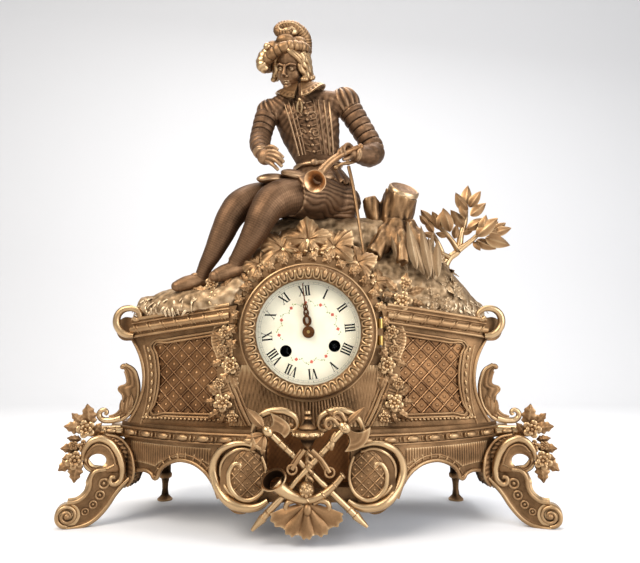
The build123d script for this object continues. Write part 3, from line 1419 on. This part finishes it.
# Straps, rear ring, screws and the hinged rear cover
STRAP_IN = TUBE_OUT + 0.4
STRAP_THICK = 1.8
STRAP_WIDE = 9.0
SCREW_R = 1.5
SCREW_HEAD = 3.0
RING_THICK = 2.5
LUG = 7.0
screw_x = STRAP_IN - 2.6
strap_low = DIAL_Z - STRAP_WIDE / 2
strap_high = DIAL_Z + STRAP_WIDE / 2
right_strap = joined(
    [
        block((STRAP_IN, ring_back, strap_low), (STRAP_IN + STRAP_THICK, BACK_Y, strap_high)),
        block((screw_x - 3, BACK_Y - LUG, strap_low), (STRAP_IN, BACK_Y, strap_high)),
    ],
    [disc(facing(BACK_Y + 1, screw_x, DIAL_Z), SCREW_R + FIT, LUG + 2)],
)
movement_straps = joined([right_strap, mirrored(right_strap)])
right_screw = joined(
    [
        disc(facing(BACK_Y + RING_THICK, screw_x, DIAL_Z), SCREW_R, RING_THICK + LUG - 1),
        disc(facing(BACK_Y + RING_THICK + 1.6, screw_x, DIAL_Z), SCREW_HEAD, 1.6),
    ]
)
strap_screws = joined([right_screw, mirrored(right_screw)])
COVER_R = 51.0
COVER_DEEP = 16.0
COVER_WALL = 1.4
COVER_RIM = 2.5
cover_y = BACK_Y + RING_THICK + GAP
rear_hinge_y = cover_y + HINGE_OUT
RING_OUT = 52.0
hinge_x_rear = COVER_R + HINGE_OUT + 0.6


with BuildPart() as rear_ring:
    add(disc(facing(BACK_Y + RING_THICK, 0, DIAL_Z), RING_OUT, RING_THICK, bore=screw_x - 4))
    for low, high in ((-2 * KNUCKLE, -KNUCKLE / 2 - GAP), (KNUCKLE / 2 + GAP, 2 * KNUCKLE)):
        add(knuckle((hinge_x_rear, rear_hinge_y), low, high, RING_OUT - 2, cover_y - GAP - 1, cover_y - GAP))
    for side in (-1, 1):
        add(disc(facing(BACK_Y + RING_THICK + 1, side * screw_x, DIAL_Z), SCREW_R + FIT, RING_THICK + 2),
            mode=Mode.SUBTRACT)
KNOB_R = 3.0
KNOB_AT = 23.0
with BuildPart() as cover_form:
    with BuildSketch(Plane.XZ):
        with BuildLine():
            Polyline((COVER_R, 0), (COVER_R, COVER_RIM), (COVER_R - 4, COVER_RIM + 2))
            ThreePointArc(
                (COVER_R - 4, COVER_RIM + 2), dome(COVER_R - 4, COVER_RIM + 2, COVER_DEEP), (0, COVER_DEEP)
            )
            Line((0, COVER_DEEP), (0, COVER_DEEP - COVER_WALL))
            ThreePointArc(
                (0, COVER_DEEP - COVER_WALL), dome(COVER_R - 5, COVER_RIM, COVER_DEEP - COVER_WALL),
                (COVER_R - 5, COVER_RIM),
            )
            Polyline((COVER_R - 5, COVER_RIM), (COVER_R - 5, 0), (COVER_R, 0))
        make_face()
    revolve(axis=Axis.Z)
    with BuildSketch(Plane.XY.offset(dome(2 * KNOB_AT, COVER_RIM + 2, COVER_DEEP)[1] - COVER_WALL)):
        with Locations((-KNOB_AT, 0)):
            Circle(KNOB_R)
    extrude(amount=COVER_WALL + 5)
cover_place = Plane(origin=(0, cover_y, DIAL_Z), x_dir=(1, 0, 0), z_dir=(0, 1, 0)).location
with BuildPart() as rear_cover:
    add(cover_form.part.moved(cover_place))
    add(knuckle((hinge_x_rear, rear_hinge_y), -KNUCKLE / 2, KNUCKLE / 2, COVER_R - 3, rear_hinge_y - 0.5,
                rear_hinge_y + HINGE_OUT))

# Hinge pins and case bolts
with BuildPart() as hinge_pins:
    for x, y in ((hinge_x, hinge_y), (hinge_x_rear, rear_hinge_y)):
        with BuildSketch(Plane.XY.offset(DIAL_Z - 2 * KNUCKLE - 1)):
            with Locations((x, y)):
                Circle(HINGE_PIN)
        extrude(amount=4 * KNUCKLE + 2)
NUT_R = 5.5
NUT_HIGH = 4.5
with BuildPart() as case_bolts:
    for side in (-1, 1):
        with BuildSketch(Plane.XY.offset(BASE_TOP - NUT_HIGH)):
            with Locations((side * BOLT[0], BOLT[1])):
                RegularPolygon(NUT_R, 6)
        extrude(amount=NUT_HIGH)
        with BuildSketch(Plane.XY.offset(BASE_TOP)):
            with Locations((side * BOLT[0], BOLT[1])):
                Circle(BOLT_R)
        extrude(amount=LEDGE_HIGH + BOSS_HIGH - 3)

PARTS = {
    "base_casting": base_casting.part,
    "base_ledge": base_ledge.part,
    "scroll_feet": scroll_feet,
    "rear_feet": rear_feet.part,
    "case_body": case_body.part,
    "leaf_brackets": leaf_brackets,
    "cornice": cornice,
    "rock_mound": rock_mound,
    "tree_stump": tree_stump,
    "foliage_spray": foliage_spray,
    "vine_leaves": vine_leaves,
    "flower_garlands": flower_garlands,
    "trophy_mount": trophy_mount,
    "figure_torso": figure_torso.part,
    "figure_head": figure_head,
    "figure_right_arm": figure_right_arm,
    "figure_left_arm": figure_left_arm,
    "figure_right_leg": figure_right_leg,
    "figure_left_leg": figure_left_leg,
    "hunting_horn": hunting_horn,
    "rapier": rapier,
    "dial_ring": dial_ring.part,
    "dial": dial.part,
    "bezel_ring": bezel.part,
    "bezel_glass": bezel_glass,
    "hinge_pins": hinge_pins.part,
    "front_plate": front_plate,
    "back_plate": back_plate,
    "plate_pillars": plate_pillars,
    "movement_straps": movement_straps,
    "strap_screws": strap_screws,
    "rear_ring": rear_ring.part,
    "rear_cover": rear_cover.part,
    "bell": bell_set,
    "bell_stand": bell_stand,
    "suspension_cock": suspension_cock.part,
    "case_bolts": case_bolts.part,
    "minute_hand": minute_hand,
    "hour_hand": hour_hand,
    "cannon_pinion": cannon_pinion,
    "hour_wheel": hour_wheel,
    "minute_wheel": minute_wheel,
    "centre_wheel": centre_wheel,
    "going_barrel": going_barrel,
    "going_mainspring": going_mainspring,
    "going_winding_arbor": winding_arbor(1),
    "going_click": click(1),
    "second_wheel": second_wheel,
    "third_wheel": third_wheel,
    "escape_wheel": escape_wheel,
    "pallet_anchor": pallet_anchor.part,
    "pendulum": pendulum.part,
    "striking_barrel": striking_barrel,
    "striking_mainspring": striking_mainspring,
    "striking_winding_arbor": winding_arbor(-1),
    "striking_click": click(-1),
    "striking_second_wheel": striking_second_wheel,
    "pin_wheel": pin_wheel,
    "strike_fly": strike_fly,
    "bell_hammer": bell_hammer.part,
}
for part_name, part_shape in PARTS.items():
    write(part_name, part_shape)
